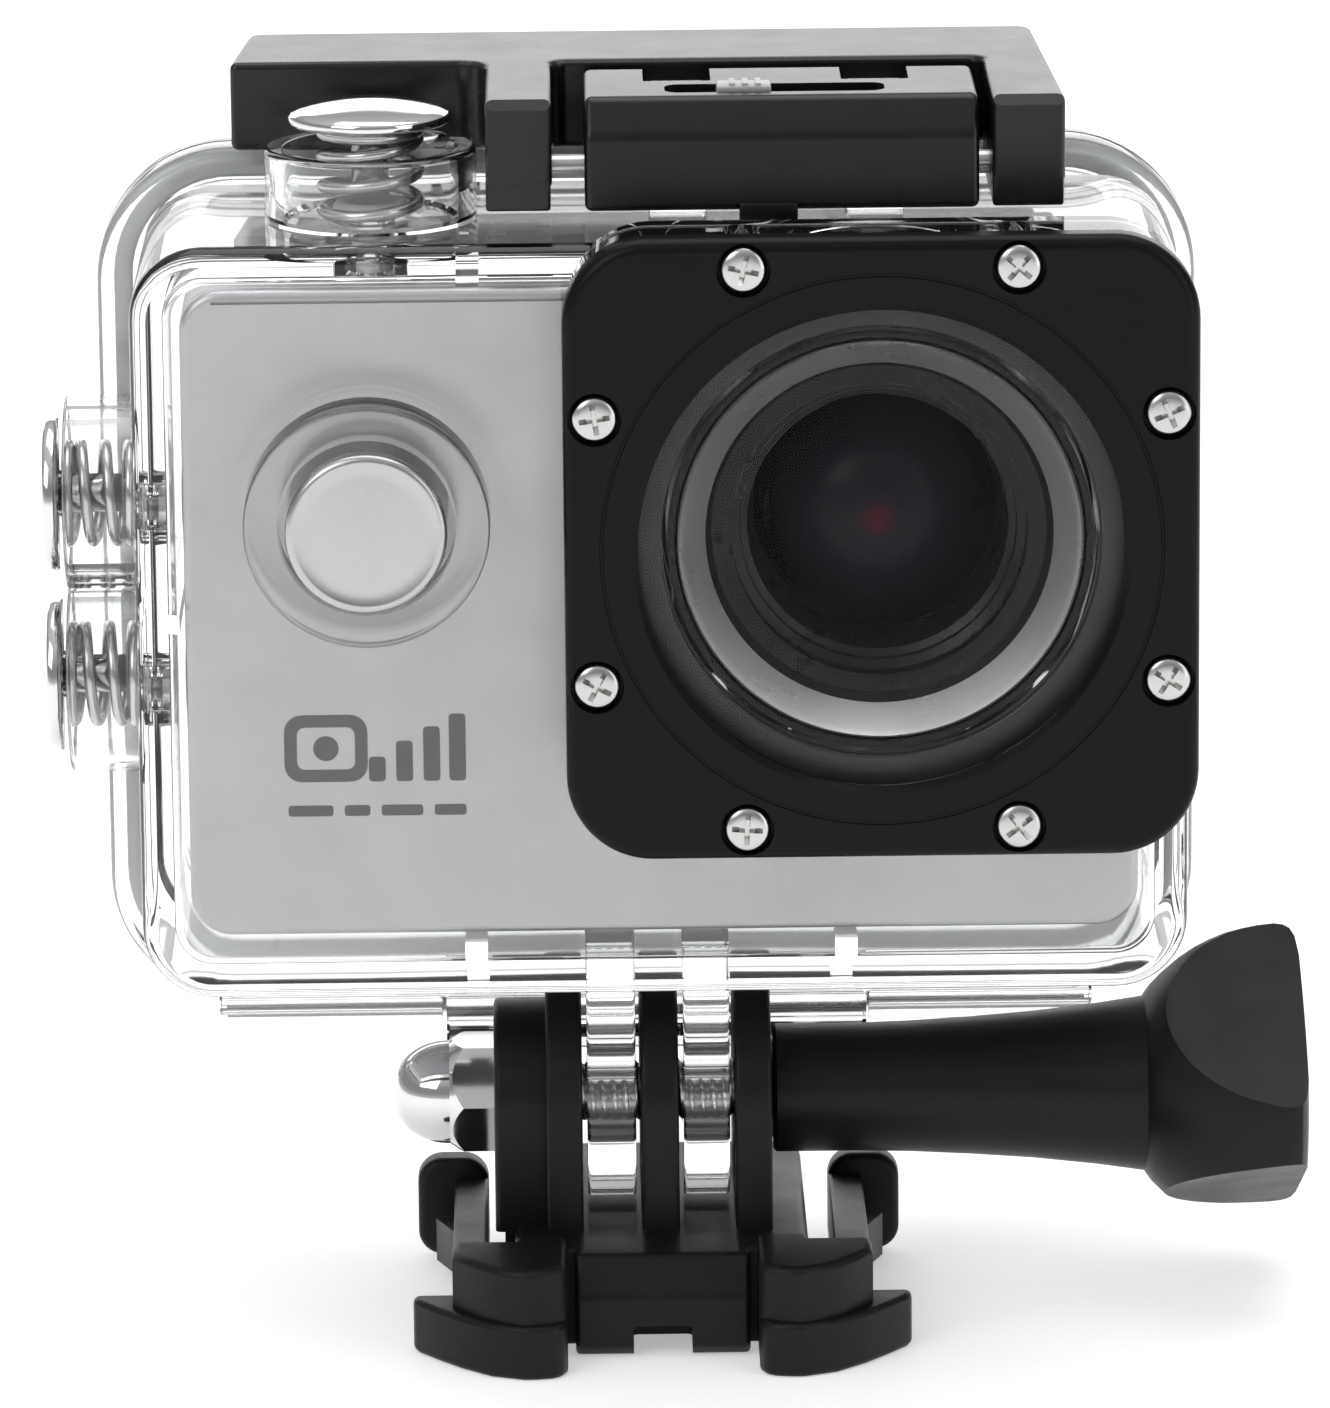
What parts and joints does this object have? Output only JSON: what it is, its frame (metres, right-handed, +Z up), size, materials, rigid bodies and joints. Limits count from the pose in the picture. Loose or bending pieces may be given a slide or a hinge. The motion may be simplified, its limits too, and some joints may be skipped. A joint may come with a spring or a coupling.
{
  "type": "action camera",
  "caption": "Silver action camera in a clear waterproof housing with push buttons, a hinged back door and a top latch, tilting on a quick-release buckle with a thumb screw.",
  "frame": {"origin": "on the buckle's flat underside, under the tilt screw's axis, half way across the middle finger", "axes": "+X to the right seen from the front, towards the thumb screw's knob; +Y from the lens towards the back door; +Z up"},
  "size_m": [0.0795, 0.0363, 0.0796],
  "materials": {
    "clear_plastic": "clear moulded polycarbonate, polished",
    "window_glass": "clear flat glass",
    "bezel_black": "black moulded, half gloss",
    "mount_black": "black moulded nylon, satin",
    "latch_black": "black moulded, fine texture",
    "silver_panel": "brushed silver face plate",
    "silver_plastic": "silver painted casing",
    "rear_black": "black moulded, fine texture",
    "chrome": "polished",
    "button_silver": "satin silver button cap",
    "steel": "bare steel",
    "seal_rubber": "pale silicone rubber",
    "lens_black": "black lens barrel, matt",
    "lens_glass": "coated lens glass",
    "screen_glass": "black display glass",
    "board_green": "green circuit board",
    "battery_wrap": "dark plastic wrap"
  },
  "bodies": {
    "mount": {"buckle_base": "mount_black", "acorn_nut": "chrome"},
    "release_arm_left": {"release_arm_left": "mount_black"},
    "release_arm_right": {"release_arm_right": "mount_black"},
    "screw_feed": {"washer": "steel"},
    "thumbscrew": {"thumbscrew_handle": "mount_black", "thumbscrew_bolt": "steel"},
    "housing": {"front_shell": "clear_plastic", "lens_bezel": "bezel_black", "window_glass": "window_glass", "window_seal": "seal_rubber", "lever_pin": "steel", "door_hinge_pin": "steel", "bezel_screw_1": "steel", "bezel_screw_2": "steel", "bezel_screw_3": "steel", "bezel_screw_4": "steel", "bezel_screw_5": "steel", "bezel_screw_6": "steel", "bezel_screw_7": "steel", "bezel_screw_8": "steel", "shutter_seal": "seal_rubber", "power_seal": "seal_rubber", "side_upper_seal": "seal_rubber", "side_lower_seal": "seal_rubber", "shutter_spring": "steel", "power_spring": "steel", "side_upper_spring": "steel", "side_lower_spring": "steel", "camera_case": "silver_plastic", "front_panel": "silver_panel", "rear_cover": "rear_black", "lcd_screen": "screen_glass", "lens_barrel": "lens_black", "lens_trim_ring": "steel", "lens_front_element": "lens_glass", "lens_rear_element": "lens_glass", "image_sensor": "screen_glass", "main_board": "board_green", "battery": "battery_wrap", "battery_door": "silver_plastic"},
    "back_door": {"back_door": "clear_plastic", "door_gasket": "seal_rubber"},
    "latch_lever": {"latch_lever": "latch_black", "bar_pin": "steel"},
    "latch_bar": {"latch_bar": "latch_black"},
    "latch_lock": {"latch_lock": "silver_plastic"},
    "shutter_plunger": {"shutter_plunger": "chrome", "shutter_clip": "steel"},
    "power_plunger": {"power_plunger": "button_silver", "power_clip": "steel"},
    "side_upper_plunger": {"side_upper_plunger": "chrome", "side_upper_clip": "steel"},
    "side_lower_plunger": {"side_lower_plunger": "chrome", "side_lower_clip": "steel"},
    "shutter_key": {"shutter_key": "button_silver"},
    "power_key": {"power_key": "button_silver"},
    "side_upper_key": {"side_upper_key": "button_silver"},
    "side_lower_key": {"side_lower_key": "button_silver"}
  },
  "joints": [
    {"name": "housing_tilt", "type": "hinge", "parent": "mount", "child": "housing", "pos_m": [0, 0, 0.0135], "axis": [1, 0, 0], "range_deg": [-22, 50]},
    {"name": "screw_travel", "type": "slide", "parent": "mount", "child": "screw_feed", "axis": [1, 0, 0], "range_m": [0, 0.0021]},
    {"name": "thumbscrew_turn", "type": "hinge", "parent": "screw_feed", "child": "thumbscrew", "pos_m": [0, 0, 0.0135], "axis": [1, 0, 0], "range_deg": [0, 1081]},
    {"name": "release_left", "type": "hinge", "parent": "mount", "child": "release_arm_left", "pos_m": [-0.0121, -0.0094, 0.0034], "axis": [0, 0, -1], "range_deg": [0, 4], "stiffness_Nm_per_rad": 1},
    {"name": "release_right", "type": "hinge", "parent": "mount", "child": "release_arm_right", "pos_m": [0.0121, -0.0094, 0.0034], "axis": [0, 0, 1], "range_deg": [0, 4], "stiffness_Nm_per_rad": 1},
    {"name": "door_hinge", "type": "hinge", "parent": "housing", "child": "back_door", "pos_m": [0, 0.0146, 0.0153], "axis": [-1, 0, 0], "range_deg": [0, 95]},
    {"name": "latch_lift", "type": "hinge", "parent": "housing", "child": "latch_lever", "pos_m": [0, 0.0009, 0.0756], "axis": [-1, 0, 0], "range_deg": [0, 95]},
    {"name": "bar_swing", "type": "hinge", "parent": "latch_lever", "child": "latch_bar", "pos_m": [0, -0.0056, 0.0746], "axis": [-1, 0, 0], "range_deg": [-95, 0]},
    {"name": "lock_slide", "type": "slide", "parent": "latch_lever", "child": "latch_lock", "axis": [1, 0, 0], "range_m": [0, 0.005]},
    {"name": "shutter_press", "type": "slide", "parent": "housing", "child": "shutter_plunger", "axis": [0, 0, -1], "range_m": [0, 0.0012], "stiffness_N_per_m": 300, "springref_m": -0.004, "deforming": ["shutter_spring"]},
    {"name": "power_press", "type": "slide", "parent": "housing", "child": "power_plunger", "axis": [0, 1, 0], "range_m": [0, 0.0012], "stiffness_N_per_m": 300, "springref_m": -0.004, "deforming": ["power_spring"]},
    {"name": "side_upper_press", "type": "slide", "parent": "housing", "child": "side_upper_plunger", "axis": [1, 0, 0], "range_m": [0, 0.0012], "stiffness_N_per_m": 300, "springref_m": -0.004, "deforming": ["side_upper_spring"]},
    {"name": "side_lower_press", "type": "slide", "parent": "housing", "child": "side_lower_plunger", "axis": [1, 0, 0], "range_m": [0, 0.0012], "stiffness_N_per_m": 300, "springref_m": -0.004, "deforming": ["side_lower_spring"]},
    {"name": "shutter_key_press", "type": "slide", "parent": "housing", "child": "shutter_key", "axis": [0, 0, -1], "range_m": [0, 0.0006]},
    {"name": "power_key_press", "type": "slide", "parent": "housing", "child": "power_key", "axis": [0, 1, 0], "range_m": [0, 0.0006]},
    {"name": "side_upper_key_press", "type": "slide", "parent": "housing", "child": "side_upper_key", "axis": [1, 0, 0], "range_m": [0, 0.0006]},
    {"name": "side_lower_key_press", "type": "slide", "parent": "housing", "child": "side_lower_key", "axis": [1, 0, 0], "range_m": [0, 0.0006]}
  ],
  "couplings": [
    {"joint": "thumbscrew_turn", "follows": "screw_travel", "rad_per_m": 8976},
    {"joint": "bar_swing", "follows": "latch_lift", "ratio": -1},
    {"joint": "shutter_key_press", "follows": "shutter_press", "ratio": 0.5},
    {"joint": "power_key_press", "follows": "power_press", "ratio": 0.5},
    {"joint": "side_upper_key_press", "follows": "side_upper_press", "ratio": 0.5},
    {"joint": "side_lower_key_press", "follows": "side_lower_press", "ratio": 0.5}
  ]
}
